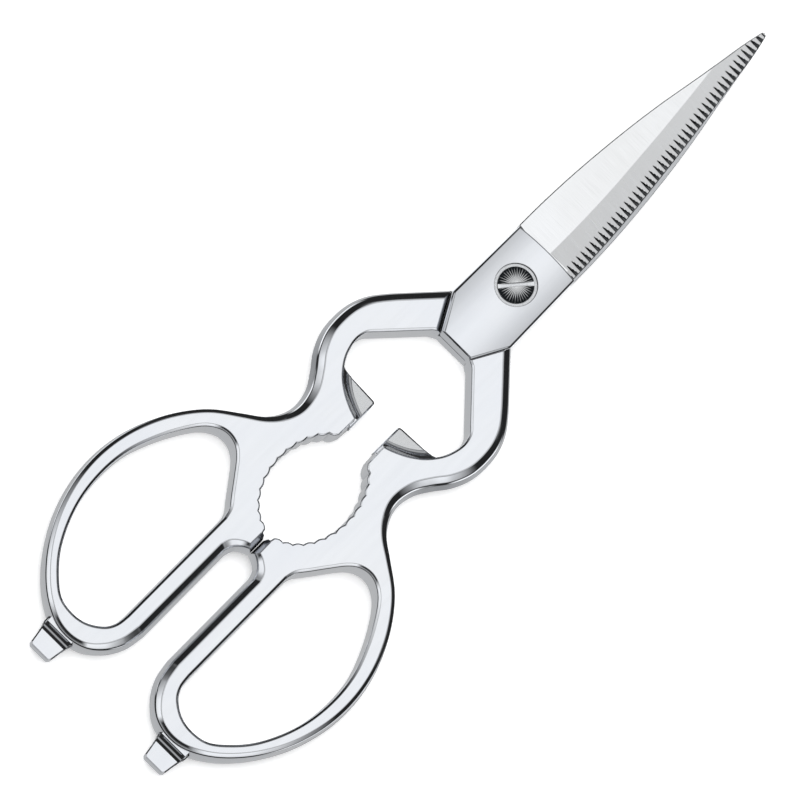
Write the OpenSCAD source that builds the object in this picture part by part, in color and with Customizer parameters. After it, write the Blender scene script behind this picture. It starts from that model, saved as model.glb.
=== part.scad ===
// Poultry shears, closed and lying flat on their back half.
// +X runs along the tool to the tip, +Y to the back half's handle, +Z up.
// The origin is on the pivot axis, in the plane that the shears rest on.
// The front half is the back half turned over about the X axis, apart from its serrations.

/* [Joint] */
// Thickness of the two bosses together at the pivot
joint_t = 9; // [8:0.5:11]
// Gap between the flat inner faces of the two halves
half_gap = 0.1; // [0.06:0.02:0.3]
// Gap between a boss and the other half's arm when closed
boss_gap = 0.35; // [0.2:0.05:0.6]
// Half width of a boss at its blade end
boss_front_y = 8.15; // [7.5:0.05:9]
// Half width of a boss at its widest
boss_wide_y = 8.5; // [8:0.1:9.5]

/* [Handle] */
// How far a handle's faces lie below the boss faces
face_step = 0.3; // [0.1:0.1:1]
// Thickness of the jaw lips at mid height
lip_t = 3; // [2:0.5:4]
// Thickness of the tab at the end of each ring
tab_t = 2.8; // [2:0.2:4]
// Number of gripping scallops in each half of the oval
scallops = 13; // [8:1:18]
// Depth of the scallops
scallop_depth = 0.35; // [0.2:0.05:0.6]

/* [Blade] */
// Thickness of a blade at its base
blade_t = 2.45; // [1.8:0.05:3]
// Thinning of the blade towards the tip, in degrees
blade_taper = 0.9; // [0.5:0.1:1.2]
// Angle of the ground bevel, in degrees
grind_angle = 15.5; // [13:0.5:17]
// Half width of the tang set into the boss
tang_y = 5.6; // [5:0.1:6.5]
// Spacing of the serrations
serration_pitch = 1.43; // [1.2:0.01:2]
// Depth of the serrations
serration_depth = 0.45; // [0.3:0.05:0.6]

/* [Pivot] */
// Radius of the screw's head
head_r = 3.9; // [3.6:0.1:4.2]
// Radius of the screw's smooth shank
shank_r = 2.5; // [2:0.1:3]
// Radial running clearance round the shank
shank_clearance = 0.06; // [0.03:0.01:0.1]
// Radius of the screw's threaded end
thread_r = 2; // [1.6:0.1:2.2]
// Radius of the washer under the head
washer_r = 4.6; // [4.4:0.1:4.8]
// Width of the screwdriver slot
slot_w = 0.9; // [0.6:0.1:1.2]
// Direction of the slot, in degrees from the X axis
slot_angle = -40; // [-90:5:90]

/* [Hidden] */
$fn = 96;
curve_steps = 5;
mid_z = joint_t / 2;
inner_z = mid_z - half_gap / 2;
tang_z = inner_z - blade_t;
boss_front_x = 10;
boss_wide_x = -10.4;
boss_end_x = -18.2;
boss_end_y = 4.25;
tang_end_x = -12.5;
tip_x = 78;
handle_t = joint_t - 2 * face_step;
jaw_y = 4.3;
lip_y = 3.4;
bar_y = 3.5;
stop_y = 0.05;
seat_floor = 0.95;
nut_t = 1.4;
nut_r = 3.8;
nut_floor = 1.9;
washer_t = 0.4;
head_rim_t = 0.35;
head_dome_t = 0.55;
slot_depth = 0.55;
oval_x = -61.8;
oval_a = 13.6;
oval_b = 9.9;

// Outer side of the arm and ring, from the boss round to the bar beside the centre line
outer_points = [
    [-9.3, 8.5], [-12, 10.9], [-16, 14.5], [-20, 18], [-23.5, 20.5], [-27.5, 22], [-32, 22.4],
    [-36, 21.9], [-40, 20.2], [-43.5, 17.7], [-47, 15.7], [-51, 15], [-54.5, 16], [-57.5, 18.2],
    [-60.5, 22], [-64.5, 27], [-69, 30.8], [-74.5, 34], [-81, 36.4], [-88, 37.5], [-95, 37.2],
    [-102, 35.5], [-108, 32.8], [-113.5, 29], [-118, 24.4], [-121, 19.2], [-121.7, 14.5],
    [-120.5, 10], [-117.5, 6.5], [-113.5, 4.3], [-109, bar_y]
];
// Rounded corner from the bar to the stop pad
stop_points = [[-84.5, bar_y], [-82.7, 2.9], [-81.4, 1.6], [-80.6, stop_y]];
// Inner side of the bow, from the jaw's end back to the boss
bow_points = [
    [-44.8, jaw_y], [-44, 6.5], [-42.5, 9.4], [-40.3, 12.2], [-37.4, 14.4], [-34.5, 15.5],
    [-32, 15.8], [-29.6, 15.2], [-28, 13.9]
];
// Finger hole, open between its first and last point along the bar
hole_points = [
    [-79.5, 8.5], [-77, 9.2], [-74.5, 11], [-71, 13.5], [-68, 15.8], [-66.3, 18], [-65.7, 20.7],
    [-66.4, 23.3], [-68.5, 26], [-72.5, 28.7], [-77.5, 31.2], [-83.5, 33.3], [-90, 34.1],
    [-97, 33.6], [-103.5, 31.8], [-109.5, 28.8], [-114, 25], [-116.8, 21.3], [-117.5, 17],
    [-116.7, 13.4], [-114.5, 10.3], [-112, 8.9], [-109, 8.5]
];
// Blade spine and cutting edge of the front half, from base to tip
spine_points = [
    [boss_front_x, 8.3], [18, 8.2], [28, 7.7], [40, 6.6], [50, 5.3], [60, 3.6], [70, 1.9], [tip_x, 0]
];
edge_points = [
    [boss_front_x, -7.75], [18, -7.5], [28, -6.9], [40, -5.8], [50, -4.6], [60, -3.3], [70, -1.8], [tip_x, 0]
];

// A point between b and c on the smooth curve through a, b, c and d
function blend_point(a, b, c, d, t) =
    0.5 * (2 * b + (c - a) * t + (2 * a - 5 * b + 4 * c - d) * t * t + (3 * b - 3 * c + d - a) * t * t * t);

// A smooth open curve through the points
function curve(points) = [
    for (i = [0 : len(points) - 2], k = [0 : curve_steps - 1])
        blend_point(points[max(i - 1, 0)], points[i], points[i + 1],
                    points[min(i + 2, len(points) - 1)], k / curve_steps),
    points[len(points) - 1]
];

// The scalloped half oval, from the stop pad to the jaw
function oval() =
    let (start = 180 - asin(1.4 / oval_b), end = asin(jaw_y / oval_b), steps = 4 * scallops)
    [for (k = [0 : steps])
        let (
            angle = start + (end - start) * k / steps,
            inset = scallop_depth * abs(sin(180 * scallops * k / steps))
        )
        [oval_x + (oval_a - inset) * cos(angle), (oval_b - inset) * sin(angle)]];

// Turns the back half over to make the front half
module flip() {
    translate([0, 0, joint_t])
    rotate([180, 0, 0])
    children();
}

// A slab between two heights
module slab(low, high) {
    translate([0, 0, low])
    linear_extrude(high - low)
    children();
}

module boss_profile(grow = 0) {
    bulge = 0.4;
    bulge_r = (pow(boss_front_y, 2) + pow(bulge, 2)) / (2 * bulge);
    intersection() {
        polygon([
            [boss_front_x + grow, boss_front_y + grow],
            [boss_wide_x - grow / 2, boss_wide_y + grow],
            [boss_end_x - grow, boss_end_y + grow / 2],
            [boss_end_x - grow, -boss_end_y - grow / 2],
            [boss_wide_x - grow / 2, -boss_wide_y - grow],
            [boss_front_x + grow, -boss_front_y - grow]
        ]);
        translate([boss_front_x - bulge_r + grow, 0])
        circle(bulge_r, $fn = 360);
    }
}

module tang_profile() {
    translate([tang_end_x, -tang_y])
    square([boss_front_x - tang_end_x, 2 * tang_y]);
}

module arm_profile() {
    difference() {
        polygon(concat(
            curve(outer_points),
            curve(stop_points),
            [[-76.6, stop_y], [-76.2, 1.2]],
            oval(),
            curve(bow_points),
            [[-19.3, 6], [boss_end_x, boss_end_y], [boss_wide_x, 2]]
        ));
        polygon(curve(hole_points));
    }
}

module lip_profile() {
    polygon([
        [-50, jaw_y + 2], [-49.9, lip_y], [-38.9, lip_y], [-38.5, lip_y + 0.4],
        [-38.3, 10.5], [-37.6, 15], [-44, 11]
    ]);
}

module tab_profile() {
    polygon([[-119, 20.8], [-119, 12.2], [-122, 12.9], [-127.2, 13.8], [-127.2, 19.4], [-122, 20.3]]);
}

// The back half's casting: boss below, arm and ring at full thickness
module half_handle() {
    difference() {
        union() {
            difference() {
                slab(face_step, face_step + handle_t) arm_profile();
                slab(inner_z, joint_t) boss_profile(boss_gap);
            }
            slab(mid_z - lip_t / 2, mid_z + lip_t / 2) lip_profile();
            slab(mid_z - tab_t / 2, mid_z + tab_t / 2) tab_profile();
            slab(0, inner_z) boss_profile();
        }
        slab(tang_z, joint_t) tang_profile();
        translate([0, 0, -1])
        cylinder(r = shank_r + shank_clearance, h = joint_t);
    }
}

// One blade as it lies in the front half: flat inner face down, ground bevel up
module blade() {
    low_z = mid_z + half_gap / 2;
    high_z = low_z + blade_t;
    base_w = spine_points[0][1] - edge_points[0][1];
    grind_w = (blade_t - 0.3) / tan(grind_angle);
    edge_turn = atan2(-edge_points[0][1] - 0.6, tip_x - boss_front_x);
    difference() {
        union() {
            slab(low_z, high_z) tang_profile();
            slab(low_z, high_z)
            polygon(concat(curve(spine_points), curve([for (i = [len(edge_points) - 1 : -1 : 0]) edge_points[i]])));
        }
        // Thins the blade from the boss to the tip
        translate([boss_front_x, -base_w, high_z])
        rotate([0, blade_taper, 0])
        cube([tip_x, 2 * base_w, blade_t]);
        // Grinds the outer face down to the cutting edge
        translate([boss_front_x, edge_points[0][1] + grind_w, high_z])
        rotate([0, 0, edge_turn])
        rotate([grind_angle, 0, 0])
        translate([0, -2 * base_w, 0])
        cube([tip_x, 2 * base_w, blade_t + 6]);
        translate([0, 0, low_z - 1])
        cylinder(r = shank_r + shank_clearance, h = joint_t);
    }
}

// V grooves across the ground bevel, each deepest at the cutting edge
module serrations() {
    edge_z = mid_z + half_gap / 2 + 0.3;
    for (x = [boss_front_x + 0.8 : serration_pitch : tip_x - 3])
        translate([x, lookup(x, edge_points), edge_z])
        rotate([12, 0, 8])
        rotate([0, 45, 0])
        translate([-serration_depth / 2, -0.6, -serration_depth / 2])
        cube([serration_depth * 1.6, 2.6, serration_depth * 1.6]);
}

module back_handle() {
    color("silver")
    difference() {
        half_handle();
        translate([0, 0, -1])
        cylinder(r = nut_r + 0.2, h = nut_floor + 1);
    }
}

module front_handle() {
    color("silver")
    difference() {
        flip() half_handle();
        translate([0, 0, joint_t - seat_floor])
        cylinder(r = washer_r + 0.15, h = seat_floor + 1);
    }
}

module back_blade() {
    color("gainsboro")
    flip()
    blade();
}

module front_blade() {
    color("gainsboro")
    difference() {
        blade();
        serrations();
    }
}

module pivot_screw() {
    under_head_z = joint_t - seat_floor + 0.05 + washer_t;
    dome_r = (pow(head_r, 2) + pow(head_dome_t, 2)) / (2 * head_dome_t);
    top_z = under_head_z + head_rim_t + head_dome_t;
    color("dimgray")
    difference() {
        union() {
            intersection() {
                translate([0, 0, under_head_z])
                cylinder(r = head_r, h = head_rim_t + head_dome_t);
                translate([0, 0, top_z - dome_r])
                sphere(dome_r);
            }
            translate([0, 0, nut_floor])
            cylinder(r = shank_r, h = under_head_z - nut_floor);
            cylinder(r = thread_r - 0.02, h = nut_floor);
        }
        rotate([0, 0, slot_angle])
        translate([-head_r - 1, -slot_w / 2, top_z - slot_depth])
        cube([2 * head_r + 2, slot_w, slot_depth + 1]);
    }
}

module head_washer() {
    color("whitesmoke")
    translate([0, 0, joint_t - seat_floor + 0.05])
    difference() {
        cylinder(r = washer_r, h = washer_t);
        translate([0, 0, -1])
        cylinder(r = shank_r + 0.02, h = washer_t + 2);
    }
}

// Conical spring washer that keeps the two halves pressed together
module spring_washer() {
    color("lightgray")
    rotate_extrude()
    polygon([
        [thread_r + 0.15, nut_floor - 0.25], [thread_r + 0.15, nut_floor],
        [nut_r - 0.2, nut_t + 0.25], [nut_r - 0.2, nut_t]
    ]);
}

module pivot_nut() {
    color("dimgray")
    difference() {
        cylinder(r = nut_r, h = nut_t);
        translate([0, 0, -1])
        cylinder(r = thread_r, h = nut_t + 2);
        for (side = [-1, 1])
            translate([side * 2.9, 0, -0.1])
            cylinder(r = 0.5, h = 0.9);
    }
}

back_handle();
front_handle();
back_blade();
front_blade();
pivot_screw();
head_washer();
spring_washer();
pivot_nut();
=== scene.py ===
"""Poultry shears of bright steel, closed on a pale floor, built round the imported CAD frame."""

import math

import bmesh
import bpy
import numpy as np
from mathutils import Matrix, Vector
from mathutils.geometry import intersect_point_line, tessellate_polygon


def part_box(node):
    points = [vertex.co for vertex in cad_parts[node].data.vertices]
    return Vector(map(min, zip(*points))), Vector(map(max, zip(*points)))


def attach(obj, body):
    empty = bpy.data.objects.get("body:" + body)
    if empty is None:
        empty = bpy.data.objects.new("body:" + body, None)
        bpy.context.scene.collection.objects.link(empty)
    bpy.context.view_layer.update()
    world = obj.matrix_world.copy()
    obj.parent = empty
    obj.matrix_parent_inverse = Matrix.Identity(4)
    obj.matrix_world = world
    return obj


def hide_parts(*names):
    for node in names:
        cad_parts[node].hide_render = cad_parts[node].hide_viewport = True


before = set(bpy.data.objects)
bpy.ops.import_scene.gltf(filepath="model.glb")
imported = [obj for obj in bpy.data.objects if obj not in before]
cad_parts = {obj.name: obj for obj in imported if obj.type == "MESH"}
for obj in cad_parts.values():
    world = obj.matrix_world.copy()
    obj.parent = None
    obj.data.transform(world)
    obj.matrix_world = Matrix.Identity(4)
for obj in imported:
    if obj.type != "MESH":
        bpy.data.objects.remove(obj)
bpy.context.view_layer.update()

# ---------------------------------------------------------------- sizes, in millimetres
# Heights and reaches, read from the boxes of the CAD nodes.
MM = 0.001
JOINT_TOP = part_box("front_handle")[1].z / MM
MID = JOINT_TOP / 2
FACE_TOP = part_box("back_handle")[1].z / MM
FACE_LOW = JOINT_TOP - FACE_TOP
BLADE_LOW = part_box("front_blade")[0].z / MM
BLADE_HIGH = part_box("front_blade")[1].z / MM
HALF_GAP = 2 * (BLADE_LOW - MID)
INNER_LOW = MID - HALF_GAP / 2
TIP_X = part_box("front_blade")[1].x / MM
TANG_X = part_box("front_blade")[0].x / MM
TAB_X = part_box("back_handle")[0].x / MM
BOSS_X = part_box("front_handle")[1].x / MM
WASHER_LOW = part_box("head_washer")[0].z / MM
WASHER_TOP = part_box("head_washer")[1].z / MM
WASHER_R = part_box("head_washer")[1].x / MM
HEAD_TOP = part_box("pivot_screw")[1].z / MM
HEAD_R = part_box("pivot_screw")[1].x / MM
NUT_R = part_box("pivot_nut")[1].x / MM
NUT_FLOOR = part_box("spring_washer")[1].z / MM

# Sizes inside the parts, as the CAD has them.
SHANK_R = 2.5
THREAD_R = 1.98
BORE_R = 2.56
TANG_HALF = 5.6
LIP_TOP = MID + 1.5
TAB_TOP = MID + 1.4

# How outlines are read and drawn: what is a corner, what is a straight stretch, and the step on a curve.
CORNER = math.radians(30)
LONG_EDGE = 3.0
FINE_STEP = 0.4
SAME_HEIGHT = 0.001
TOUCHING = 0.02
MERGE_DISTANCE = 0.001
ROUND_SIDES = 96

# The worn edges of the castings: the most rounding, its share of the rim's depth, and less of it at the face.
EDGE_SOFTNESS = 0.55
EDGE_SHARE = 0.42
FACE_EDGE_SHARE = 0.4
EDGE_STEPS = 4
LEVEL_ENOUGH = 0.998

# Grooves round the screw's head.
RAYS = 36


# ---------------------------------------------------------------- outlines taken from the CAD
def flat_loops(node, height):
    """The edges of a CAD node's flat faces at that height, longest first, with the metal on their left."""
    bm = bmesh.new()
    bm.from_mesh(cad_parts[node].data)
    bmesh.ops.remove_doubles(bm, verts=bm.verts, dist=1e-6)
    level = [f for f in bm.faces if all(abs(v.co.z / MM - height) < SAME_HEIGHT for v in f.verts)]
    inside = set(level)
    step = {}
    for face in level:
        for corner in face.loops:
            if sum(f in inside for f in corner.edge.link_faces) == 1:
                a, b = corner.vert, corner.link_loop_next.vert
                if face.normal.z < 0:
                    a, b = b, a
                step[a] = b
    loops = []
    while step:
        first, vert = next(iter(step.items()))
        loop = [first]
        del step[first]
        while vert is not first:
            loop.append(vert)
            vert = step.pop(vert)
        loops.append([Vector((v.co.x / MM, v.co.y / MM)) for v in loop])
    bm.free()
    return sorted(loops, key=lambda loop: -perimeter(loop))


def perimeter(loop):
    return sum((loop[i] - loop[i - 1]).length for i in range(len(loop)))


def turn(a, b):
    """Angle between two directions."""
    return abs(math.atan2(a.x * b.y - a.y * b.x, a.dot(b)))


def refined(loop):
    """The loop with its round stretches made smooth and its corners and straight stretches kept."""
    count = len(loop)
    chords = [loop[(i + 1) % count] - loop[i] for i in range(count)]

    def tangent(i, side):
        """Direction at point i, on the side of the chord before (-1) or after (0) it."""
        before, after = chords[i - 1], chords[i]
        if turn(before, after) > CORNER:
            return (before if side else after).normalized()
        if max(before.length, after.length) > LONG_EDGE:
            return max(before, after, key=lambda c: c.length).normalized()
        return (before * after.length + after * before.length).normalized()

    fine = []
    for i, chord in enumerate(chords):
        a, b = loop[i], loop[(i + 1) % count]
        if chord.length > LONG_EDGE:
            fine.append(a)
            continue
        start = tangent(i, 0) * chord.length
        end = tangent((i + 1) % count, -1) * chord.length
        parts = max(1, math.ceil(chord.length / FINE_STEP))
        for k in range(parts):
            t = k / parts
            fine.append(
                a * (2 * t**3 - 3 * t**2 + 1)
                + start * (t**3 - 2 * t**2 + t)
                + b * (3 * t**2 - 2 * t**3)
                + end * (t**3 - t**2)
            )
    return fine


def outward(a, b):
    """Unit normal of the edge a to b, away from the metal on its left."""
    d = (b - a).normalized()
    return Vector((d.y, -d.x))


# ---------------------------------------------------------------- solids with worked edges
def meeting_point(loop, normals, insets, a, b):
    """Where edge a, moved in by its inset, meets the later edge b, moved in by its own."""
    n1, n2, w1, w2 = normals[a], normals[b], insets[a], insets[b]
    if n1.dot(n2) > math.cos(CORNER):
        n = (n1 + n2).normalized()
        between = (loop[(a + 1) % len(loop)] + loop[b]) / 2
        return between - n * ((w1 + w2) / 2 / n.dot(n1))
    offsets = Vector((n1.dot(loop[a]) - w1, n2.dot(loop[b]) - w2))
    return Matrix((n1, n2)).inverted() @ offsets


def inset_ring(loop, normals, insets):
    """The loop with each edge moved in by its inset. An edge that shrinks away leaves one point."""
    count = len(loop)
    kept = list(range(count))
    while True:
        pairs = zip(kept[-1:] + kept[:-1], kept)
        starts = {b: meeting_point(loop, normals, insets, a, b) for a, b in pairs}
        gone = []
        for edge, after in zip(kept, kept[1:] + kept[:1]):
            along = Vector((-normals[edge].y, normals[edge].x))
            if (starts[after] - starts[edge]).dot(along) < -1e-5:
                gone.append(edge)
        if not gone:
            break
        kept = [edge for edge in kept if edge not in gone]
    ring = []
    for i in range(count - 1, -1, -1):
        ring.append(starts[i] if i in starts else (ring[-1] if ring else starts[kept[0]]))
    ring.reverse()
    return ring


def loft_rings(bm, loop, style_of):
    """Stacks copies of the loop, each moved in and up as the style of its edges says."""
    count = len(loop)
    normals = [outward(loop[i], loop[(i + 1) % count]) for i in range(count)]
    styles = [style_of((loop[i] + loop[(i + 1) % count]) / 2, normals[i]) for i in range(count)]
    rings = []
    for level in range(len(styles[0])):
        flat = inset_ring(loop, normals, [style[level][0] for style in styles])
        heights = [(styles[i - 1][level][1] + styles[i][level][1]) / 2 for i in range(count)]
        rings.append([bm.verts.new((p.x, p.y, z)) for p, z in zip(flat, heights)])
    for low, high in zip(rings, rings[1:]):
        for i in range(count):
            j = (i + 1) % count
            bm.faces.new((low[i], low[j], high[j], high[i]))
    return rings


def loft(name, loops, *styles):
    """A closed solid from an outer loop and its holes. Each style gives (inset, height) from low to high."""
    bm = bmesh.new()
    stacks = [loft_rings(bm, loop, style_of) for loop, style_of in zip(loops, styles)]
    for end in (0, -1):
        rings = [stack[end] for stack in stacks]
        verts = [v for ring in rings for v in ring]
        for a, b, c in tessellate_polygon([[v.co for v in ring] for ring in rings]):
            bm.faces.new((verts[a], verts[b], verts[c]))
    bmesh.ops.remove_doubles(bm, verts=bm.verts, dist=1e-4)
    bmesh.ops.recalc_face_normals(bm, faces=bm.faces)
    return mesh_object(name, bm)


def mesh_object(name, bm):
    mesh = bpy.data.meshes.new(name)
    bm.to_mesh(mesh)
    bm.free()
    obj = bpy.data.objects.new(name, mesh)
    bpy.context.scene.collection.objects.link(obj)
    return obj


def mirrored(profile):
    """A profile from mid height up, repeated downwards so that the solid is the same above and below."""
    lower = [(inset, 2 * MID - z) for inset, z in reversed(profile[1:])]
    return lower + profile


def worn_edge(mid, rim, top, depth):
    """Profile of a drafted wall from mid height to a soft rim, then a facet up to the face's crisper edge.

    The first three numbers are insets at mid height, at the rim and at the face. The depth is the rim's,
    below the face.
    """
    corners = [(mid, MID), (rim, FACE_TOP - depth), (top, FACE_TOP), (top + 1, FACE_TOP)]
    corners = [Vector(corner) for corner in corners]
    reach = min(EDGE_SOFTNESS, depth * EDGE_SHARE)
    profile = [corners[0]]
    for before, corner, after, share in zip(corners, corners[1:], corners[2:], (1, FACE_EDGE_SHARE)):
        start = corner + (before - corner).normalized() * reach * share
        end = corner + (after - corner).normalized() * reach * share
        for k in range(EDGE_STEPS + 1):
            t = k / EDGE_STEPS
            profile.append(start * (1 - t) ** 2 + corner * (2 * t * (1 - t)) + end * t**2)
    return [(point.x, point.y) for point in profile]


def circle(radius, sides):
    angles = [2 * math.pi * i / sides for i in range(sides)]
    return [Vector((radius * math.cos(angle), radius * math.sin(angle))) for angle in angles]


def rectangle(x0, x1, y0, y1):
    return [Vector((x0, y0)), Vector((x1, y0)), Vector((x1, y1)), Vector((x0, y1))]


def prism(name, loop, low, high):
    return loft(name, [loop], lambda mid, normal: [(0, low), (0, high)])


def cylinder(name, radius, low, high):
    return prism(name, circle(radius, ROUND_SIDES), low, high)


def fade(value, start, end):
    """Runs smoothly from 0 at start to 1 at end."""
    share = min(1.0, max(0.0, (value - start) / (end - start)))
    return share * share * (3 - 2 * share)


def combine(base, operation, *tools):
    """Adds the tools to the base, or cuts them out of it, and removes them."""
    for tool in tools:
        modifier = base.modifiers.new(operation, "BOOLEAN")
        modifier.operation = operation
        modifier.solver = "EXACT"
        modifier.object = tool
    bpy.context.view_layer.update()
    done = bpy.data.meshes.new_from_object(base.evaluated_get(bpy.context.evaluated_depsgraph_get()))
    base.modifiers.clear()
    base.data = done
    for tool in tools:
        bpy.data.objects.remove(tool)
    return base


def turned_over(obj):
    """Turns a back half solid over into the front half's place, or the other way."""
    obj.data.transform(Matrix.Translation((0, 0, JOINT_TOP)) @ Matrix.Rotation(math.pi, 4, "X"))
    return obj


def keep_flat(mesh):
    """Marks the rims of the nearly level faces as sharp, so that rounded edges do not bend their shading."""
    bm = bmesh.new()
    bm.from_mesh(mesh)
    for edge in bm.edges:
        level = [abs(face.normal.z) > LEVEL_ENOUGH for face in edge.link_faces]
        if any(level) and not all(level):
            edge.smooth = False
    bm.to_mesh(mesh)
    bm.free()


def finished(obj, node, body, sharp_degrees):
    """Scales a solid from millimetres, shades it and puts it in the place of its CAD node."""
    bm = bmesh.new()
    bm.from_mesh(obj.data)
    bmesh.ops.remove_doubles(bm, verts=bm.verts, dist=MERGE_DISTANCE)
    bm.to_mesh(obj.data)
    bm.free()
    obj.data.transform(Matrix.Scale(MM, 4))
    obj.data.shade_smooth()
    obj.data.set_sharp_from_angle(angle=math.radians(sharp_degrees))
    keep_flat(obj.data)
    weighted = obj.modifiers.new("weighted_normals", "WEIGHTED_NORMAL")
    weighted.keep_sharp = True
    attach(obj, body)
    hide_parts(node)
    return obj


# ---------------------------------------------------------------- materials
class Nodes:
    """Short names for the node calls of a material. The colour and roughness given are its plain ones."""

    def __init__(self, name, colour, roughness):
        self.material = bpy.data.materials.new(name)
        self.material.use_nodes = True
        self.tree = self.material.node_tree
        self.shader = self.tree.nodes["Principled BSDF"]
        self.shader.inputs["Base Color"].default_value = (*colour, 1)
        self.shader.inputs["Metallic"].default_value = 1.0
        self.shader.inputs["Roughness"].default_value = roughness
        self.place = self.tree.nodes.new("ShaderNodeTexCoord").outputs["Object"]

    def link(self, source, target):
        self.tree.links.new(source, target)

    def noise(self, scale, stretch=(1, 1, 1), detail=4.0):
        mapping = self.tree.nodes.new("ShaderNodeMapping")
        mapping.inputs["Scale"].default_value = stretch
        self.link(self.place, mapping.inputs["Vector"])
        noise = self.tree.nodes.new("ShaderNodeTexNoise")
        noise.inputs["Scale"].default_value = scale
        noise.inputs["Detail"].default_value = detail
        self.link(mapping.outputs["Vector"], noise.inputs["Vector"])
        return noise.outputs["Fac"]

    def along(self, axis):
        """Distance along an axis of the tool."""
        split = self.tree.nodes.new("ShaderNodeSeparateXYZ")
        self.link(self.place, split.inputs["Vector"])
        return split.outputs[axis]

    def spread(self, source, low, high, start=0.3, end=0.7):
        """Maps a factor between start and end onto low to high."""
        node = self.tree.nodes.new("ShaderNodeMapRange")
        node.inputs["From Min"].default_value = start
        node.inputs["From Max"].default_value = end
        node.inputs["To Min"].default_value = low
        node.inputs["To Max"].default_value = high
        self.link(source, node.inputs["Value"])
        return node.outputs["Result"]

    def maths(self, operation, a, b):
        node = self.tree.nodes.new("ShaderNodeMath")
        node.operation = operation
        for socket, value in zip(node.inputs, (a, b)):
            if isinstance(value, (int, float)):
                socket.default_value = value
            else:
                self.link(value, socket)
        return node.outputs["Value"]

    def tint(self, factor, first, second):
        """Colours the surface from the first colour, where the factor is 0, to the second."""
        node = self.tree.nodes.new("ShaderNodeMix")
        node.data_type = "RGBA"
        node.inputs["A"].default_value = (*first, 1)
        node.inputs["B"].default_value = (*second, 1)
        self.link(factor, node.inputs["Factor"])
        self.link(node.outputs["Result"], self.shader.inputs["Base Color"])
        self.colour = node.outputs["Result"]

    def paint_crevice_shade(self, reach, shade):
        """Darkens the colour in gaps and inside corners: painted shade where the ambient occlusion finds
        little open air.
        """
        crevice_shade_ao = self.tree.nodes.new("ShaderNodeAmbientOcclusion")
        crevice_shade_ao.samples = 6
        crevice_shade_ao.inputs["Distance"].default_value = reach
        shut_in, open_air = 0.45, 0.85
        factor = self.spread(crevice_shade_ao.outputs["AO"], shade, 1, shut_in, open_air)
        mix = self.tree.nodes.new("ShaderNodeMix")
        mix.data_type = "RGBA"
        mix.blend_type = "MULTIPLY"
        mix.inputs["Factor"].default_value = 1.0
        self.link(self.colour, mix.inputs["A"])
        self.link(factor, mix.inputs["B"])
        self.link(mix.outputs["Result"], self.shader.inputs["Base Color"])

    def bump(self, height, distance, strength=1.0):
        node = self.tree.nodes.new("ShaderNodeBump")
        node.inputs["Distance"].default_value = distance
        node.inputs["Strength"].default_value = strength
        self.link(height, node.inputs["Height"])
        self.link(node.outputs["Normal"], self.shader.inputs["Normal"])

    def edges(self, reach):
        """1 where a sharp edge lies within that reach, 0 on a smooth face."""
        rounded = self.tree.nodes.new("ShaderNodeBevel")
        rounded.samples = 4
        rounded.inputs["Radius"].default_value = reach
        same = self.tree.nodes.new("ShaderNodeVectorMath")
        same.operation = "DOT_PRODUCT"
        self.link(rounded.outputs["Normal"], same.inputs[0])
        self.link(self.tree.nodes.new("ShaderNodeNewGeometry").outputs["Normal"], same.inputs[1])
        return self.spread(same.outputs["Value"], 1, 0, 0.92, 1)


def polished_steel():
    """Bright casting: soft clouds, hairlines, rubbed edges, painted shade in its crevices."""
    m = Nodes("polished_steel", (0.8, 0.82, 0.85), 0.1)
    clouds = m.noise(60)
    hairlines = m.noise(900, (0.06, 1, 1), 6)
    worn = m.maths("MULTIPLY", m.edges(0.0003), 0.06)
    smooth = m.maths("ADD", m.spread(clouds, 0.045, 0.1), worn)
    m.link(m.maths("ADD", smooth, m.spread(hairlines, 0, 0.03)), m.shader.inputs["Roughness"])
    m.tint(m.spread(clouds, 0, 1), (0.77, 0.785, 0.82), (0.85, 0.86, 0.88))
    # Painted shade: the colour is darkened in gaps and inside corners.
    m.paint_crevice_shade(0.0008, 0.1)
    m.bump(m.maths("ADD", hairlines, clouds), 0.0000015)
    return m.material


def satin_steel():
    """Flat of the blade: fine even satin drawn across the blade."""
    m = Nodes("satin_steel", (0.96, 0.965, 0.97), 0.2)
    lines = m.noise(5200, (1, 0.03, 0.03), 5)
    clouds = m.noise(45)
    rough = m.maths("ADD", m.spread(lines, 0.1, 0.15), m.spread(clouds, -0.02, 0.03))
    m.link(rough, m.shader.inputs["Roughness"])
    m.tint(m.spread(clouds, 0, 1), (0.95, 0.955, 0.965), (0.99, 0.99, 0.99))
    # Painted shade: the colour is darkened in gaps and inside corners.
    m.paint_crevice_shade(0.0004, 0.2)
    m.bump(lines, 0.000001, 0.3)
    return m.material


def ground_steel():
    """Ground bevel of the blade: greyer, with grinding lines square to the cutting edge."""
    m = Nodes("ground_steel", (0.9, 0.905, 0.91), 0.34)
    lines = m.noise(7000, (1, 0.02, 0.02), 6)
    broad = m.noise(1400, (1, 0.05, 0.05), 2)
    m.link(m.spread(lines, 0.26, 0.36), m.shader.inputs["Roughness"])
    brightness = m.maths("MULTIPLY", m.spread(lines, 0, 1), m.spread(broad, 0.6, 1))
    m.tint(brightness, (0.95, 0.955, 0.96), (1, 1, 1))
    # Painted shade: the colour is darkened in gaps and inside corners.
    m.paint_crevice_shade(0.0005, 0.1)
    m.bump(lines, 0.000002, 0.4)
    return m.material


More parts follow.
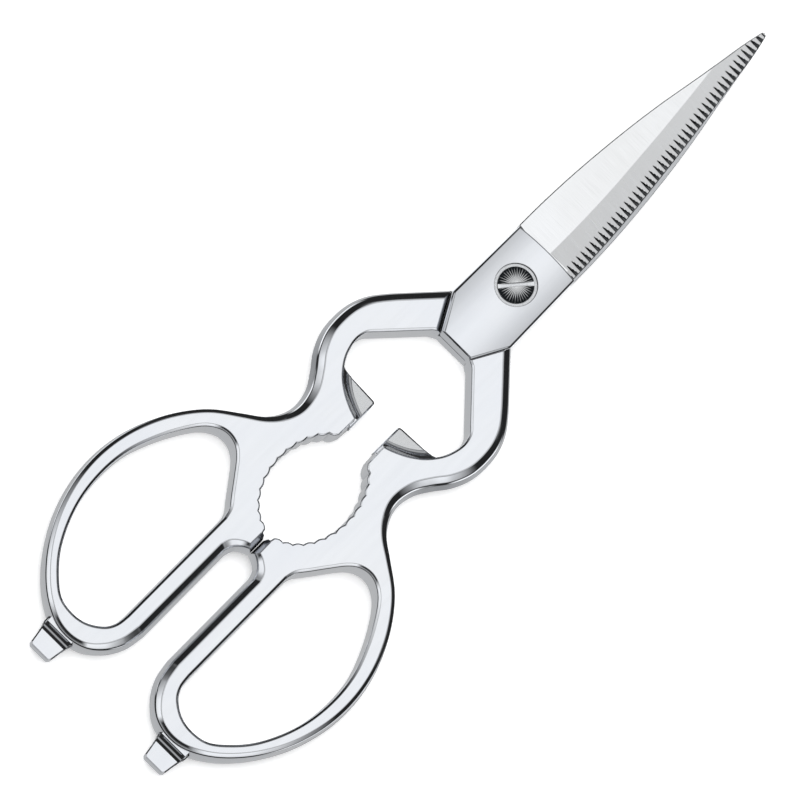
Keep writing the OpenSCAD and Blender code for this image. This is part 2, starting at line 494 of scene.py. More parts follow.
def serration_painted_shade():
    """Serrations and the cutting edge: coloured near black as painted shade, with streaks that run off the
    edge.
    """
    m = Nodes("serration_painted_shade", (0.12, 0.125, 0.13), 0.2)
    streaks = m.noise(6000, (1, 0.05, 0.3), 4)
    m.link(m.spread(streaks, 0.14, 0.26), m.shader.inputs["Roughness"])
    # Painted shade: the serrations and the cutting edge are coloured near black.
    m.tint(m.spread(streaks, 0, 1), (0.02, 0.022, 0.025), (0.3, 0.31, 0.32))
    # Painted shade: the colour is darkened in gaps and inside corners.
    m.paint_crevice_shade(0.0004, 0.1)
    m.bump(streaks, 0.000003, 0.5)
    return m.material


def inner_steel():
    """Flat inner faces that slide on each other: long rub marks along the blade."""
    m = Nodes("inner_steel", (0.7, 0.71, 0.73), 0.25)
    rubbed = m.noise(2600, (0.05, 1, 1), 5)
    m.link(m.spread(rubbed, 0.18, 0.34), m.shader.inputs["Roughness"])
    m.tint(m.spread(rubbed, 0, 1), (0.66, 0.67, 0.69), (0.75, 0.76, 0.775))
    m.bump(rubbed, 0.000005, 0.5)
    return m.material


def screw_steel():
    """The screw: painted highlight in the middle, fading to painted shade towards its rim, with painted
    glints on ridges that run out from the middle.
    """
    m = Nodes("screw_steel", (0.5, 0.52, 0.54), 0.24)
    grain = m.noise(1500, (1, 1, 1), 6)
    m.link(m.spread(grain, 0.2, 0.3), m.shader.inputs["Roughness"])
    x = m.along("X")
    y = m.along("Y")
    from_axis = m.maths("SQRT", m.maths("ADD", m.maths("MULTIPLY", x, x), m.maths("MULTIPLY", y, y)), 0)
    # Painted highlight in the middle of the head, running to painted shade at its rim.
    middle = m.spread(from_axis, 1, -0.75, 0.0004, 0.004)
    # Painted glints: bright lines along the rays of the head.
    wave = m.maths("COSINE", m.maths("MULTIPLY", m.maths("ARCTAN2", y, x), RAYS), 0)
    painted_ridge_glints = m.maths("MULTIPLY", m.spread(wave, 0, 0.85, -0.1, 0.9), m.spread(grain, 0.5, 1))
    m.tint(m.maths("ADD", middle, painted_ridge_glints), (0.015, 0.017, 0.02), (0.98, 0.985, 0.99))
    # Painted shade: the colour is darkened in gaps and inside corners.
    m.paint_crevice_shade(0.0001, 0.2)
    m.bump(grain, 0.000006, 0.5)
    return m.material


def washer_steel():
    """Bright turned parts: the washers and the nut."""
    m = Nodes("washer_steel", (0.85, 0.86, 0.88), 0.14)
    grain = m.noise(2200, (1, 1, 0.2), 4)
    m.link(m.spread(grain, 0.1, 0.22), m.shader.inputs["Roughness"])
    m.tint(m.spread(grain, 0, 1), (0.8, 0.81, 0.83), (0.88, 0.89, 0.9))
    # Painted shade: the colour is darkened in gaps and inside corners.
    m.paint_crevice_shade(0.0006, 0.1)
    m.bump(grain, 0.000004, 0.4)
    return m.material


def cast_steel():
    """Unpolished faces of the jaw's lips: fine cast grain under the plating."""
    m = Nodes("cast_steel", (0.66, 0.68, 0.69), 0.25)
    grain = m.noise(2600, (1, 1, 1), 3)
    m.link(m.spread(grain, 0.2, 0.34), m.shader.inputs["Roughness"])
    m.tint(m.spread(grain, 0, 1, 0.35, 0.65), (0.78, 0.79, 0.8), (0.97, 0.975, 0.98))
    # Painted shade: the colour is darkened in gaps and inside corners.
    m.paint_crevice_shade(0.0008, 0.3)
    m.bump(grain, 0.000014, 0.7)
    return m.material


def mark_faces(obj, height, material):
    """Gives the level faces at that height, and at its mirror below, one of the object's materials."""
    index = obj.data.materials.find(material.name)
    for face in obj.data.polygons:
        off_middle = abs(face.center.z / MM - MID)
        if abs(off_middle - (height - MID)) < 0.01 and abs(face.normal.z) > 0.99:
            face.material_index = index


def dress(obj, *materials):
    """Swaps in the materials. Clearing a list resets the faces' choices, so an empty one is left alone."""
    if obj.data.materials:
        obj.data.materials.clear()
    for material in materials:
        obj.data.materials.append(material)


POLISHED = polished_steel()
CAST = cast_steel()
SATIN = satin_steel()
GROUND = ground_steel()
INNER = inner_steel()
SERRATION = serration_painted_shade()
SCREW = screw_steel()
WASHER = washer_steel()


# ---------------------------------------------------------------- the two handles
# Where the stretches of the arm's outline lie, and how far its ends run into the boss.
JAW_Y = 4.3
OVAL_X = (-76.8, -49.3)
OVAL_TOP = 10.1
BOW_CENTRE = Vector((-31, 4))
BOW_TOP = 16
SHOULDER_X = -14
SUNK = 4.0

# Worn edges, as the four numbers of worn_edge.
SHOULDER_EDGE = (0, 0, 0, 0.12)
STOP_EDGE = (0, 0.05, 1.3, 2.4)
TEETH_EDGE = (-0.15, -0.12, 0.2, 0.3)
JAW_EDGE = (-0.85, -0.1, 0.08, 0.2)
BOW_EDGE = (-0.35, -0.28, 0.2, 0.42)
HOLE_EDGE = (-0.8, -0.6, 0, 0.5)

# The bevel round the outside: its width on the ring's ends and sides and on the arm, and where it changes.
RING_END_BAND = 1.3
RING_SIDE_EXTRA = 0.9
ARM_BAND = 2.25
BAND_CHANGE_X = (-66, -50)

# The boss: its crown, the height that holds all of its rounded corner, and where its widest part ends.
CROWN_FALL = 0.27
CROWN_STRIPS = 12
CORNER_HEIGHT = 1.0
BOSS_WIDE_X = -10.5

# The jaw's lip and its hollow fillet, which starts a little below the lip's face.
LIP_BACK_X = -46.5
LIP_EDGE = 0.46
LIP_FILLET_SETBACK = 0.4
LIP_FILLET_REACH = 2.5
LIP_FILLET_RISE = 2.45
LIP_FILLET_FOOT = 0.06

# The tab, the flare where it joins the ring, and its hollow fillet.
TAB_LENGTH = 5.6
TAB_CORNER = 0.5
TAB_EDGE = 0.25
TAB_FLARE = 1.1
TAB_IN_RING = 2.5
TAB_FILLET_SETBACK = 0.5
TAB_FILLET_REACH = 1.7
TAB_FILLET_RISE = 1.9
TAB_FILLET_FOOT = 0.05

HANDLE_SHARP_DEGREES = 22
RECESS_SIDES = 128


def lies_on(point, outline):
    """Whether the point lies on one of the outline's edges."""
    for i, a in enumerate(outline):
        nearest, share = intersect_point_line(point, outline[i - 1], a)
        if 0 <= share <= 1 and (nearest.xy - point).length < TOUCHING:
            return True
    return False


def arm_loop():
    """The arm's outer loop, run on into the boss where the two are one piece."""
    boss = flat_loops("back_handle", 0)[0]
    loop = flat_loops("back_handle", FACE_LOW)[0]
    joined = [lies_on((loop[i - 1] + p) / 2, boss) for i, p in enumerate(loop)]
    start = next(i for i in range(len(loop)) if joined[i] and not joined[(i + 1) % len(loop)])
    free = [loop[start]]
    for k in range(1, len(loop)):
        i = (start + k) % len(loop)
        if joined[i]:
            break
        free.append(loop[i])
    first = free[0] + (free[0] - free[1]).normalized() * SUNK
    last = free[-1] + (free[-1] - free[-2]).normalized() * SUNK
    return refined([first] + free + [last])


def arm_style(mid, normal):
    """Edge work of the arm and ring, by where the edge lies on the back half."""
    to_pivot = -mid.normalized()
    at_shoulder = mid.x > SHOULDER_X and normal.dot(to_pivot) > 0.6
    at_stop = abs(mid.y) < 0.3
    in_oval = OVAL_X[0] < mid.x < OVAL_X[1] and mid.y < OVAL_TOP
    at_jaw = abs(mid.y - JAW_Y) < 0.1 and mid.x > OVAL_X[1] - 1
    in_bow = mid.x > OVAL_X[1] and normal.dot(BOW_CENTRE - mid) > 0
    places = (
        (at_shoulder, SHOULDER_EDGE), (at_stop, STOP_EDGE), (in_oval, TEETH_EDGE),
        (at_jaw, JAW_EDGE), (in_bow, BOW_EDGE),
    )
    for is_here, edge in places:
        if is_here:
            return mirrored(worn_edge(*edge))
    ring = RING_END_BAND + RING_SIDE_EXTRA * max(0.0, -normal.y) ** 2
    band = ring + (ARM_BAND - ring) * fade(mid.x, *BAND_CHANGE_X)
    return mirrored(worn_edge(0, band * 0.33, band, band * 0.54))


def hole_style(mid, normal):
    """Edge work of the finger hole, whose loop is the face's own edge."""
    return mirrored(worn_edge(*HOLE_EDGE))


ARM_LOOPS = [arm_loop(), refined(flat_loops("back_handle", FACE_LOW)[1])]
BOSS_LOOP = refined(flat_loops("back_handle", 0)[0])


def boss_style(mid, normal):
    """Boss of the back half, from its outer face at height 0 up to the inner face."""
    across = 0.3 + 0.25 * abs(normal.y)
    down = 0.3 + 0.2 * abs(normal.y)
    facing_other_arm = mid.x < BOSS_WIDE_X and normal.y < -0.5
    if facing_other_arm:
        across = down = 0.8
    corner = [(across * share, down * (1 - share) ** 1.6) for share in (1.0, 0.8, 0.5, 0.22, 0.0)]
    return corner + [(0, INNER_LOW - 0.15), (0.12, INNER_LOW)]


def crowned(boss):
    """Rounds the boss's outer face across the tool, in strips narrow enough to shade smoothly."""
    half_width = max(p.y for p in BOSS_LOOP)
    strip_lines = np.linspace(0, half_width, CROWN_STRIPS + 1)
    falls = CROWN_FALL * (strip_lines / half_width) ** 2
    bm = bmesh.new()
    bm.from_mesh(boss.data)
    bmesh.ops.dissolve_faces(bm, faces=[face for face in bm.faces if face.normal.z < -0.9999])
    for y in [*-strip_lines[1:-1], *strip_lines[:-1]]:
        everything = bm.verts[:] + bm.edges[:] + bm.faces[:]
        bmesh.ops.bisect_plane(bm, geom=everything, dist=1e-5, plane_co=(0, y, 0), plane_no=(0, 1, 0))
    for vert in bm.verts:
        if vert.co.z < CORNER_HEIGHT:
            vert.co.z += np.interp(abs(vert.co.y), strip_lines, falls)
    bm.to_mesh(boss.data)
    bm.free()
    return boss


def moat_style(mid, normal):
    """Fine groove in the arm's own face round the foot of the boss."""
    return [(-0.5, -1), (-0.26, FACE_LOW), (-0.12, FACE_LOW + 0.4)]


def boss_room_style(mid, normal):
    """Room for the other half's boss, flared at the top so that the arm's shoulder has a bevel."""
    return [(-0.35, INNER_LOW), (-0.35, FACE_TOP - 1.1), (-1.35, FACE_TOP + 0.05), (-2.3, FACE_TOP + 1)]


def lip_loop(setback):
    """Outline of the jaw's lip, run into the arm behind it. The setback moves its two free sides in."""
    loop = max(flat_loops("back_handle", LIP_TOP), key=lambda points: max(p.x for p in points))
    low = min(p.y for p in loop) + setback
    right = max(p.x for p in loop) - setback
    top = max(p.y for p in loop)
    low_side = [(LIP_BACK_X, low), (right - 1.6, low), (right - 1.2, low + 0.1), (right - 0.9, low + 0.35)]
    end = [(right - 0.78, low + 0.75), (right - 0.55, low + 7)]
    inside_arm = [(right, top + 0.5), (right - 3, top + 2), (LIP_BACK_X, low + 4)]
    return [Vector(corner) for corner in low_side + end + inside_arm]


def lip_slab():
    """The lip itself, with its free edges broken."""

    def style(mid, normal):
        free = (normal.y < -0.3 or normal.x > 0.8) and normal.y < 0.5
        edge = LIP_EDGE if free else 0.0
        return mirrored([(0, MID), (0, LIP_TOP - 0.55), (edge * 0.4, LIP_TOP - 0.28), (edge, LIP_TOP)])

    return loft("lip", [lip_loop(0)], style)


def hollow(reach, rise):
    """Points up a hollow fillet, an arc from 25 to 65 degrees, as (distance from its foot, height)."""
    low = math.radians(25)
    span = math.cos(low) - math.sin(low)
    points = []
    for degrees in range(25, 66, 5):
        slope = math.radians(degrees)
        along = (math.sin(slope) - math.sin(low)) / span
        up = (math.cos(low) - math.cos(slope)) / span
        points.append((reach * along, rise * up))
    return points


def lip_fillet(side):
    """Hollow fillet between the lip's face and the arm, above (side 1) or below (side -1)."""
    body = prism("lip_fillet", lip_loop(LIP_FILLET_SETBACK), LIP_TOP - 0.2, FACE_TOP - 0.35)
    bow = [p for p in ARM_LOOPS[0] if OVAL_X[1] + 4 < p.x < -33 and JAW_Y - 0.1 < p.y < BOW_TOP]
    bow = [bow[0] + Vector((-3, 0))] + bow
    round_the_lip = [(-28, BOW_TOP), (-28, 0), (-52, 0), (-52, JAW_Y)]
    loop = bow + [Vector(corner) for corner in round_the_lip]
    loop.reverse()
    foot = LIP_TOP - LIP_FILLET_FOOT
    slope = hollow(LIP_FILLET_REACH, LIP_FILLET_RISE)
    profile = [(LIP_FILLET_REACH - along, foot + up) for along, up in slope]
    profile.append((0, JOINT_TOP + 1))

    def style(mid, normal):
        is_root = mid.x > -49 and normal.dot(BOW_CENTRE - mid) < 0 and 0.5 < mid.y < BOW_TOP - 0.05
        return profile if is_root else [(0, z) for _, z in profile]

    combine(body, "DIFFERENCE", loft("lip_scoop", [loop], style))
    if side < 0:
        body.data.transform(Matrix.Translation((0, 0, JOINT_TOP)) @ Matrix.Scale(-1, 4, (0, 0, 1)))
        body.data.flip_normals()
    return body


def tab_loop():
    """Outline of the tab, drawn from its outer end back into the ring."""
    corners = [v.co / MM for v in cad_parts["back_handle"].data.vertices]
    end = [corner.y for corner in corners if corner.x < TAB_X + 0.01]
    low = min(end)
    high = max(end)
    root_x = TAB_X + TAB_LENGTH
    side = [
        (TAB_X, low + TAB_CORNER), (TAB_X + TAB_CORNER, low), (root_x - 1.2, low - 0.6),
        (root_x, low - TAB_FLARE), (root_x + TAB_IN_RING, low - TAB_FLARE),
    ]
    other_side = [(x, low + high - y) for x, y in reversed(side)]
    return [Vector(corner) for corner in side + other_side]


def tab_block():
    """The tab itself, with its edges broken."""
    profile = mirrored([(0, MID), (0, TAB_TOP - TAB_EDGE), (TAB_EDGE, TAB_TOP)])
    return loft("tab", [tab_loop()], lambda mid, normal: profile)


def tab_fillet():
    """Hollow fillet between the tab's faces and the ring's outer wall."""
    loop = tab_loop()
    low = min(p.y for p in loop) + TAB_FILLET_SETBACK
    high = max(p.y for p in loop) - TAB_FILLET_SETBACK
    root_x = TAB_X + TAB_LENGTH
    strip = rectangle(root_x - TAB_FILLET_REACH, root_x + TAB_IN_RING, low, high)
    foot = TAB_TOP - TAB_FILLET_FOOT
    slope = [(along, foot + up) for along, up in hollow(TAB_FILLET_REACH, TAB_FILLET_RISE)]

    def style(mid, normal):
        facing_end = normal.x < -0.5
        return mirrored([(0, MID)] + [(along if facing_end else 0, z) for along, z in slope])

    return loft("tab_fillet", [strip], style)


def half_handle():
    """The back half's casting, before the recess for its nut."""
    arm = loft("arm", ARM_LOOPS, arm_style, hole_style)
    boss_room = loft("boss_room", [BOSS_LOOP], boss_room_style)
    moat = loft("moat", [BOSS_LOOP], moat_style)
    combine(arm, "DIFFERENCE", boss_room, moat)
    boss = crowned(loft("boss", [BOSS_LOOP], boss_style))
    lips = [lip_slab(), lip_fillet(1), lip_fillet(-1)]
    combine(arm, "UNION", boss, *lips, tab_block(), tab_fillet())
    tang_outline = rectangle(TANG_X, BOSS_X + 1, -TANG_HALF, TANG_HALF)
    pocket = prism("pocket", tang_outline, JOINT_TOP - BLADE_HIGH, MID)
    return combine(arm, "DIFFERENCE", pocket, cylinder("bore", BORE_R, -1, JOINT_TOP))


def chamfered_hole(name, radius, floor, mouth, chamfer):
    """Cutter for a round recess that opens at the boss face, with a small chamfer at its mouth."""
    out = 1 if mouth > floor else -1
    profile = [(0, floor), (0, mouth - out * chamfer), (-2 * chamfer, mouth + out * chamfer)]
    if out < 0:
        profile.reverse()
    return loft(name, [circle(radius, RECESS_SIDES)], lambda mid, normal: profile)


back_handle = half_handle()
front_handle = bpy.data.objects.new("front_handle_casting", back_handle.data.copy())
bpy.context.scene.collection.objects.link(front_handle)
turned_over(front_handle)
back_handle.name = "back_handle_casting"
nut_recess = chamfered_hole("nut_recess", NUT_R + 0.2, NUT_FLOOR, 0, 0.15)
head_recess = chamfered_hole("head_recess", WASHER_R + 0.08, WASHER_LOW - 0.05, JOINT_TOP, 0.06)
combine(back_handle, "DIFFERENCE", nut_recess)
combine(front_handle, "DIFFERENCE", head_recess)
finished(back_handle, "back_handle", "back_half", HANDLE_SHARP_DEGREES)
finished(front_handle, "front_handle", "front_half", HANDLE_SHARP_DEGREES)
for casting in (back_handle, front_handle):
    dress(casting, POLISHED, CAST)
    mark_faces(casting, LIP_TOP, CAST)


# ---------------------------------------------------------------- the two blades
BLADE_SHARP_DEGREES = 11
CHAMFER = 0.1
TAPER = math.tan(math.radians(0.9))

# The grind: the cutting edge's thickness and bevel, and the grind's width at the boss and towards the tip.
EDGE_T = 0.28
EDGE_BEVEL = 0.2
GRIND_AT_BASE = 7.3
GRIND_THINNING = 0.035
GRIND_ROWS = 12

# The serrations: depth as a share of the blade's thickness, half widths and place as shares of the pitch.
SERRATION_PITCH = 1.43
SERRATION_REACH = 2.9
SERRATION_DEPTH = 0.85
SERRATION_LEAN = 0.16
SERRATION_PLACE = 0.4
HALF_WIDTH_INSIDE = 0.06
HALF_WIDTH_EXTRA = 0.29
SERRATION_STEEPNESS = 1.4
STATIONS_PER_SERRATION = 14

# The tip: its rounding, and the length over which the blade widens to it.
TIP_ROUND = 0.5
TIP_WIDENING = 12

# The order of a blade's materials.
FLAT_FACE, GRIND_FACE, INNER_FACE, EDGE_FACE = 0, 1, 2, 3


def blade_sides():
    """Spine and plain cutting edge of the front blade as (x, y) arrays, from the back blade turned over."""
    loop = refined([Vector((p.x, -p.y)) for p in reversed(flat_loops("back_blade", INNER_LOW)[0])])
    on_blade = [p for p in loop if p.x > BOSS_X - 0.01]
    spine = sorted(((p.x, p.y) for p in on_blade if p.y >= 0), key=lambda p: p[0])
    edge = sorted(((p.x, p.y) for p in on_blade if p.y <= 0), key=lambda p: p[0])
    return np.array(spine), np.array(edge)


def serration_cut(x, from_edge, thick):
    """Depth of the ground wedge at a point that far from the cutting edge, where the blade is that thick."""
    if from_edge > SERRATION_REACH or not BOSS_X + 0.4 < x < TIP_X - TIP_ROUND:
        return 0.0
    phase = ((x + SERRATION_LEAN * from_edge) / SERRATION_PITCH) % 1
    near = 1 - from_edge / SERRATION_REACH
    away = abs(phase - SERRATION_PLACE) / (HALF_WIDTH_INSIDE + HALF_WIDTH_EXTRA * near)
    return SERRATION_DEPTH * thick * near**0.5 * min(1.0, SERRATION_STEEPNESS * max(0.0, 1 - away))


def blade_section(x, spine_y, edge_y, serrated):
    """One cross section of the front blade, from the spine round to the edge, with each strip's material."""
    thick = BLADE_HIGH - BLADE_LOW - (x - BOSS_X) * TAPER
    width = spine_y - edge_y
    grind = GRIND_AT_BASE - GRIND_THINNING * (x - BOSS_X)
    slope = (thick - EDGE_T) / grind
    rim = min(0.2, width * 0.12)
    grind = min(grind, width - rim)
    ridge = BLADE_LOW + EDGE_T + grind * slope
    points = [
        (spine_y - CHAMFER, BLADE_LOW, INNER_FACE),
        (spine_y, BLADE_LOW + CHAMFER, FLAT_FACE),
        (spine_y, ridge - rim, FLAT_FACE),
        (spine_y - rim, ridge, FLAT_FACE),
        (edge_y + grind, ridge, GRIND_FACE),
    ]
    near = min(grind * 0.8, SERRATION_REACH + 0.3)
    bevel = min(EDGE_BEVEL, near * 0.5)
    distances = [near + (grind - near) * share for share in (0.66, 0.33)]
    distances += [bevel + (near - bevel) * k / GRIND_ROWS for k in range(GRIND_ROWS, -1, -1)]
    for from_edge in distances:
        local = EDGE_T + from_edge * slope
        cut = serration_cut(x, from_edge, local) if serrated else 0.0
        kind = EDGE_FACE if cut > 0.03 or from_edge == bevel else GRIND_FACE
        points.append((edge_y + from_edge, BLADE_LOW + local - cut, kind))
    points.append((edge_y, BLADE_LOW + EDGE_T * 0.15, EDGE_FACE))
    points.append((edge_y, BLADE_LOW, INNER_FACE))
    return points


def blade(name, serrated):
    """A blade with a curved grind line, a distal taper and, on the front one, ground serrations."""
    spine, edge = blade_sides()
    step = SERRATION_PITCH / (STATIONS_PER_SERRATION if serrated else 2)
    along = np.arange(BOSS_X, TIP_X - TIP_ROUND, step)
    round_tip = TIP_X - TIP_ROUND * np.array((0.8, 0.5, 0.2, 0.04))
    bm = bmesh.new()
    rings = []
    for x in np.append(along, round_tip):
        spine_y, edge_y = np.interp(x, *spine.T), np.interp(x, *edge.T)
        rounding = math.sqrt(max(0.0, 1 - max(0.0, 1 - (TIP_X - x) / TIP_ROUND) ** 2))
        middle = (spine_y + edge_y) / 2
        half = ((spine_y - edge_y) / 2 + TIP_ROUND * fade(x, TIP_X - TIP_WIDENING, TIP_X)) * rounding
        section = blade_section(x, middle + half, middle - half, serrated)
        rings.append([(bm.verts.new((x, y, z)), kind) for y, z, kind in section])
    for near, far in zip(rings, rings[1:]):
        for i, (corner, kind) in enumerate(near):
            j = (i + 1) % len(near)
            face = bm.faces.new((corner, near[j][0], far[j][0], far[i][0]))
            face.material_index = kind
    for ring in (rings[0], rings[-1]):
        bm.faces.new([corner for corner, _ in ring])
    bmesh.ops.recalc_face_normals(bm, faces=bm.faces)
    body = mesh_object(name, bm)
    dress(body, SATIN, GROUND, INNER, SERRATION)
    tang_outline = rectangle(TANG_X, BOSS_X + 0.6, -TANG_HALF, TANG_HALF)
    combine(body, "UNION", prism("tang", tang_outline, BLADE_LOW, BLADE_HIGH - 0.02))
    return combine(body, "DIFFERENCE", cylinder("tang_bore", BORE_R, BLADE_LOW - 1, BLADE_HIGH + 1))


front_blade = blade("front_blade_ground", True)
back_blade = turned_over(blade("back_blade_ground", False))
finished(front_blade, "front_blade", "front_half", BLADE_SHARP_DEGREES)
finished(back_blade, "back_blade", "back_half", BLADE_SHARP_DEGREES)


# ---------------------------------------------------------------- the pivot screw
SCREW_SHARP_DEGREES = 30
RAY_DEPTH = 0.05
POINTS_PER_RAY = 6
HEAD_RIM = 0.35
SLOT_W = 0.9
SLOT_DEPTH = 0.55
SLOT_ANGLE = math.radians(-40)


def screw_head():
    """Low dome with fine grooves that run out from the middle."""
    bm = bmesh.new()
    around = RAYS * POINTS_PER_RAY
    dome = HEAD_TOP - WASHER_TOP - HEAD_RIM
    levels = []
    for share in (0.2, 0.34, 0.48, 0.62, 0.76, 0.88, 0.95, 1.0):
        groove = RAY_DEPTH * min(1.0, share * 1.5) if share < 1 else 0.0
        levels.append((HEAD_R * share, HEAD_TOP - dome * share**2, groove))
    levels += [(HEAD_R, WASHER_TOP + HEAD_RIM * 0.85, 0.0), (HEAD_R, WASHER_TOP, 0.0)]
    rings = []
    for radius, top, groove in levels:
        ring = []
        for k, point in enumerate(circle(radius, around)):
            depth = groove * (0.5 - 0.5 * math.cos(2 * math.pi * k / POINTS_PER_RAY))
            ring.append(bm.verts.new((point.x, point.y, top - depth)))
        rings.append(ring)
    for inner, outer in zip(rings, rings[1:]):
        for k in range(around):
            j = (k + 1) % around
            bm.faces.new((inner[k], outer[k], outer[j], inner[j]))
    bm.faces.new(rings[0])
    bm.faces.new(list(reversed(rings[-1])))
    bmesh.ops.recalc_face_normals(bm, faces=bm.faces)
    return mesh_object("pivot_screw_turned", bm)


def pivot_screw():
    head = screw_head()
    shank = cylinder("shank", SHANK_R, NUT_FLOOR, WASHER_TOP + 0.2)
    thread = cylinder("thread", THREAD_R, 0, NUT_FLOOR + 0.2)
    combine(head, "UNION", shank, thread)
    slot_outline = rectangle(-HEAD_R - 1, HEAD_R + 1, -SLOT_W / 2, SLOT_W / 2)
    slot = prism("slot", slot_outline, HEAD_TOP - SLOT_DEPTH, HEAD_TOP + 1)
    slot.data.transform(Matrix.Rotation(SLOT_ANGLE, 4, "Z"))
    return combine(head, "DIFFERENCE", slot)


screw = finished(pivot_screw(), "pivot_screw", "back_half", SCREW_SHARP_DEGREES)
dress(screw, SCREW, WASHER)
mark_faces(screw, HEAD_TOP - SLOT_DEPTH, WASHER)


# ---------------------------------------------------------------- washers and nut, as the CAD has them
def rounded_edges(node, width):
    """A small bevel on a CAD node that is shown as it is."""
    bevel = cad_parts[node].modifiers.new("rounded_edges", "BEVEL")
    bevel.width = width * MM
    bevel.segments = 2
    bevel.limit_method = "ANGLE"


for cad_node in ("pivot_nut", "head_washer", "spring_washer"):
    dress(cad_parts[cad_node], WASHER)
rounded_edges("head_washer", 0.06)
rounded_edges("pivot_nut", 0.1)


# ---------------------------------------------------------------- floor, light and camera
LIGHT_TILT = math.radians(15)

# Brightness against an angle in degrees: from the light's middle, above the horizon, or round from +X.
OVERHEAD_FALL = (
    (0, 1.12), (3, 1), (8, 0.55), (14, 0.57), (24, 0.72),
    (34, 0.8), (44, 0.3), (55, 0.08), (66, 0.02), (180, 0.02),
)
SIDE_BOX_HEIGHT = ((-90, 0), (4, 0), (12, 0.8), (24, 1.1), (36, 0.9), (43, 0), (90, 0))
SIDE_BOX_ROUND = ((0, 0), (80, 0), (100, 0.6), (115, 1), (138, 1), (153, 0), (180, 0))
LOW_STRIP_HEIGHT = ((-90, 0), (-44, 0), (-38, 1.2), (-12, 1.2), (-5, 0), (90, 0))
LOW_STRIP_ROUND = ((0, 0), (50, 0), (62, 1), (100, 1), (112, 0), (180, 0))
BENCH_HEIGHT = ((-90, 0.52), (-56, 0.48), (-50, 0.3), (-46, 0.02), (0, 0), (90, 0))
WINDOW_HEIGHT = ((-90, 0), (7, 0), (13, 0.45), (19, 0.45), (25, 0), (90, 0))
WINDOW_ROUND = ((0, 1), (48, 1), (60, 0), (96, 0), (108, 1), (180, 1))

# The floor's half width and its gap below the tool, in metres.
FLOOR_HALF = 3.0
FLOOR_GAP = 0.00002


def floor():
    """A white table, lit from below as well so that the shadow on it stays faint."""
    bm = bmesh.new()
    corners = rectangle(-FLOOR_HALF, FLOOR_HALF, -FLOOR_HALF, FLOOR_HALF)
    bm.faces.new([bm.verts.new((corner.x, corner.y, -FLOOR_GAP)) for corner in corners])
    obj = mesh_object("floor", bm)
    m = Nodes("pale_floor", (0.93, 0.93, 0.93), 0.7)
    m.shader.inputs["Metallic"].default_value = 0.0
    m.shader.inputs["Specular IOR Level"].default_value = 0.1
    m.shader.inputs["Emission Color"].default_value = (1, 1, 1, 1)
    m.shader.inputs["Emission Strength"].default_value = 0.3
    m.tint(m.spread(m.noise(9), 0, 1), (0.92, 0.92, 0.925), (0.94, 0.94, 0.94))
    dress(obj, m.material)
    obj.visible_glossy = False


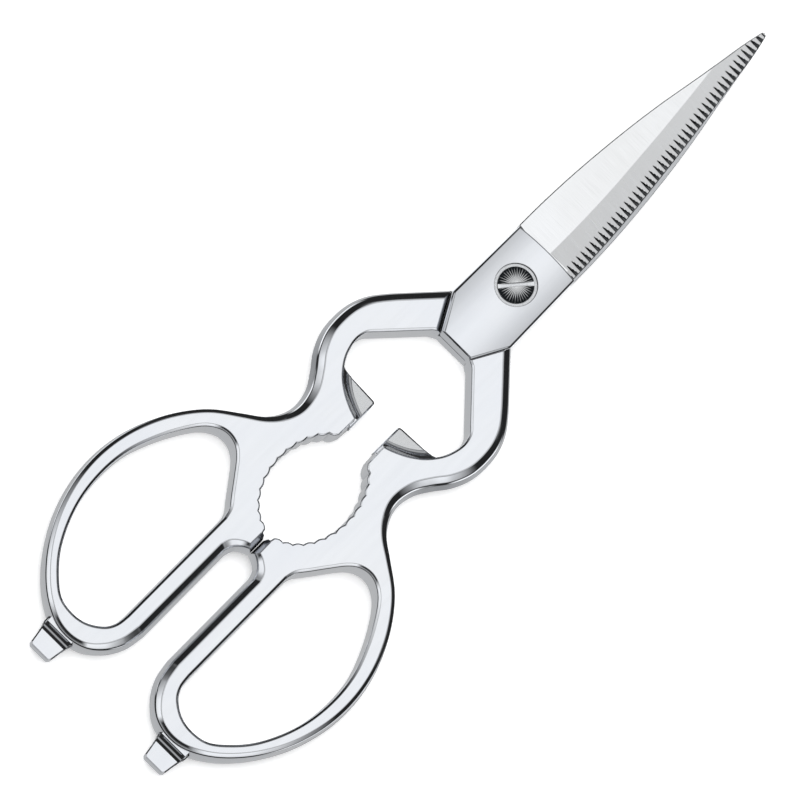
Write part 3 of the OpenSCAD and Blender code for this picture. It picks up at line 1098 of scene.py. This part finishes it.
def studio_sky():
    """A soft box overhead, side boxes, strips and windows low round the tool, and a grey bench below."""
    world = bpy.data.worlds.new("studio_sky")
    bpy.context.scene.world = world
    world.use_nodes = True
    tree = world.node_tree
    split = tree.nodes.new("ShaderNodeSeparateXYZ")
    tree.links.new(tree.nodes.new("ShaderNodeTexCoord").outputs["Generated"], split.inputs["Vector"])

    def maths(operation, a, b=0.0):
        node = tree.nodes.new("ShaderNodeMath")
        node.operation = operation
        for socket, value in zip(node.inputs, (a, b)):
            if isinstance(value, (int, float)):
                socket.default_value = value
            else:
                tree.links.new(value, socket)
        return node.outputs["Value"]

    def curve(value, points):
        """Straight lines through points (value, brightness)."""
        low, high = points[0][0], points[-1][0]
        node = tree.nodes.new("ShaderNodeValToRGB")
        while len(node.color_ramp.elements) < len(points):
            node.color_ramp.elements.new(0.5)
        for element, (place, shade) in zip(node.color_ramp.elements, points):
            element.position = (place - low) / (high - low)
            element.color = (shade, shade, shade, 1)
        tree.links.new(maths("DIVIDE", maths("SUBTRACT", value, low), high - low), node.inputs["Fac"])
        return node.outputs["Color"]

    height = maths("MULTIPLY", maths("ARCSINE", split.outputs["Z"]), 180 / math.pi)
    round_angle = maths("ARCTAN2", split.outputs["Y"], split.outputs["X"])
    azimuth = maths("MULTIPLY", maths("ABSOLUTE", round_angle), 180 / math.pi)
    light_x = maths("MULTIPLY", split.outputs["X"], math.sin(LIGHT_TILT))
    light_z = maths("MULTIPLY", split.outputs["Z"], math.cos(LIGHT_TILT))
    from_light = maths("MULTIPLY", maths("ARCCOSINE", maths("ADD", light_x, light_z)), 180 / math.pi)
    overhead = curve(from_light, OVERHEAD_FALL)
    side_box = maths("MULTIPLY", curve(height, SIDE_BOX_HEIGHT), curve(azimuth, SIDE_BOX_ROUND))
    low_strip = maths("MULTIPLY", curve(height, LOW_STRIP_HEIGHT), curve(azimuth, LOW_STRIP_ROUND))
    window = maths("MULTIPLY", curve(height, WINDOW_HEIGHT), curve(azimuth, WINDOW_ROUND))
    bench = curve(height, BENCH_HEIGHT)
    above = maths("MAXIMUM", overhead, maths("MAXIMUM", side_box, window))
    total = maths("ADD", above, maths("MAXIMUM", low_strip, bench))
    tint = tree.nodes.new("ShaderNodeMix")
    tint.data_type = "RGBA"
    tint.blend_type = "MULTIPLY"
    tint.inputs["Factor"].default_value = 1.0
    tint.inputs["B"].default_value = (0.975, 0.988, 1, 1)
    tree.links.new(total, tint.inputs["A"])
    tree.links.new(tint.outputs["Result"], tree.nodes["Background"].inputs["Color"])


def overhead_light():
    """Wide soft light for the floor; it stays out of the reflections, which the sky makes."""
    data = bpy.data.lights.new("overhead", "AREA")
    data.shape = "DISK"
    data.size = 1.4
    data.energy = 16
    obj = bpy.data.objects.new("overhead", data)
    obj.location = (-0.1, 0.1, 1.2)
    obj.visible_glossy = False
    obj.visible_camera = False
    bpy.context.scene.collection.objects.link(obj)


# The picture's width and the pivot's place right of and above its centre are in millimetres on the tool.
VIEW_TILT = math.radians(15)
VIEW_ROLL = math.radians(45.28)
PICTURE_WIDTH = 166.67
PIVOT_RIGHT = 24.21
PIVOT_UP = 24.0
LENS = 1000
SENSOR = 36


def camera():
    """Looks down from the handles' side, with the tool's axis at 45 degrees in the picture."""
    along = Vector((math.cos(VIEW_TILT), 0, math.sin(VIEW_TILT)))
    across = Vector((0, 1, 0))
    right = along * math.cos(VIEW_ROLL) - across * math.sin(VIEW_ROLL)
    up = along * math.sin(VIEW_ROLL) + across * math.cos(VIEW_ROLL)
    back = right.cross(up)
    pivot = Vector((0, 0, JOINT_TOP * MM))
    centre = pivot - (right * PIVOT_RIGHT + up * PIVOT_UP) * MM
    distance = PICTURE_WIDTH * MM * LENS / SENSOR
    turned = Matrix((right, up, back)).transposed().to_4x4()
    data = bpy.data.cameras.new("camera")
    data.lens = LENS
    data.sensor_width = SENSOR
    obj = bpy.data.objects.new("camera", data)
    obj.matrix_world = Matrix.Translation(centre + back * distance) @ turned
    bpy.context.scene.collection.objects.link(obj)
    bpy.context.scene.camera = obj


floor()
studio_sky()
overhead_light()
camera()
bpy.context.scene.view_settings.view_transform = "Standard"
